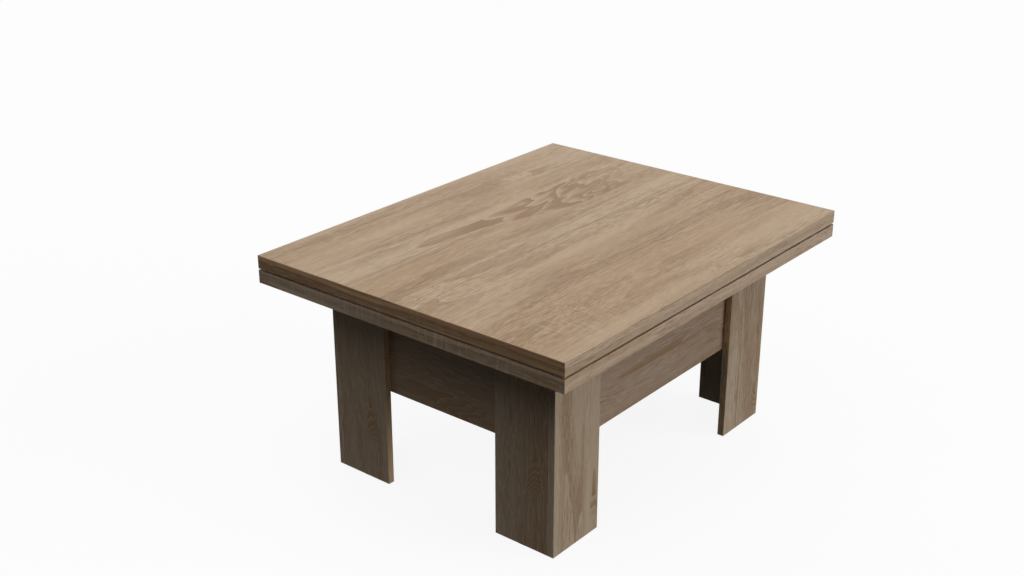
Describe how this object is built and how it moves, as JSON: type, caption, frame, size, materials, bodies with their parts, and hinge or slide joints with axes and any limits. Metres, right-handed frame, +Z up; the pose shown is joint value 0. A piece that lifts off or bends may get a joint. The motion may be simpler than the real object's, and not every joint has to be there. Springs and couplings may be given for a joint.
{
  "type": "extending table",
  "caption": "Low rectangular wood-board table with two stacked top leaves and corner legs; the top rises and comes forward on spring arms, and its upper leaf unfolds.",
  "frame": {"origin": "on the floor under the middle of the closed top", "axes": "+X along the long side, +Y towards the back edge that the leaves are hinged on, +Z up"},
  "size_m": [1, 0.8023, 0.505],
  "materials": {
    "oak_board": "melamine faced, satin",
    "oak_edging": "wood print, satin",
    "black_steel": "powder coated",
    "zinc_steel": "zinc plated",
    "spring_steel": "oiled",
    "nylon": "matte",
    "felt": "felt",
    "beech": "turned"
  },
  "bodies": {
    "base": {"apron_front": "oak_board", "apron_back": "oak_board", "apron_left": "oak_board", "apron_right": "oak_board", "leg_front_left_long": "oak_board", "leg_front_left_short": "oak_board", "leg_front_right_long": "oak_board", "leg_front_right_short": "oak_board", "leg_back_left_long": "oak_board", "leg_back_left_short": "oak_board", "leg_back_right_long": "oak_board", "leg_back_right_short": "oak_board", "floor_glides": "felt", "apron_screws": "zinc_steel", "leg_screws": "zinc_steel", "leg_dowels": "beech", "bracket_screws": "zinc_steel", "rest_pads": "felt", "lift_bracket_left": "black_steel", "lift_bracket_right": "black_steel", "axle_pins": "zinc_steel", "front_arm_pins": "zinc_steel", "stop_pins": "black_steel", "spring_rail": "black_steel", "torsion_springs": "spring_steel"},
    "rear_arms": {"rear_arm_left": "black_steel", "rear_arm_right": "black_steel", "axle_tube": "black_steel", "axle_bushes": "nylon", "spring_seat_pins": "black_steel"},
    "front_arms": {"front_arm_left": "black_steel", "front_arm_right": "black_steel", "front_arm_tube": "black_steel"},
    "top": {"lower_leaf": "oak_board", "lower_leaf_edging": "oak_edging", "top_rail_left": "black_steel", "top_rail_right": "black_steel", "rail_screws": "zinc_steel", "rear_top_pins": "zinc_steel", "front_top_pins": "zinc_steel", "leaf_bumpers": "felt", "hinge_lower_plates": "zinc_steel", "hinge_pins": "zinc_steel"},
    "upper_leaf": {"upper_leaf": "oak_board", "upper_leaf_edging": "oak_edging", "hinge_upper_plates": "zinc_steel"}
  },
  "joints": [
    {"name": "lift", "type": "hinge", "parent": "base", "child": "rear_arms", "pos_m": [0, -0.088, 0.34703], "axis": [1, 0, 0], "range_deg": [0, 100], "deforming": ["torsion_springs"]},
    {"name": "front_arm_swing", "type": "hinge", "parent": "base", "child": "front_arms", "pos_m": [0, -0.178, 0.37904], "axis": [1, 0, 0], "range_deg": [0, 100]},
    {"name": "top_level", "type": "hinge", "parent": "rear_arms", "child": "top", "pos_m": [0, 0.217, 0.3899], "axis": [1, 0, 0], "range_deg": [-100, 0]},
    {"name": "leaf_unfold", "type": "hinge", "parent": "top", "child": "upper_leaf", "pos_m": [0, 0.4005, 0.47375], "axis": [-1, 0, 0], "range_deg": [0, 180]}
  ],
  "couplings": [
    {"joint": "front_arm_swing", "follows": "lift", "ratio": 1},
    {"joint": "top_level", "follows": "lift", "ratio": -1}
  ]
}
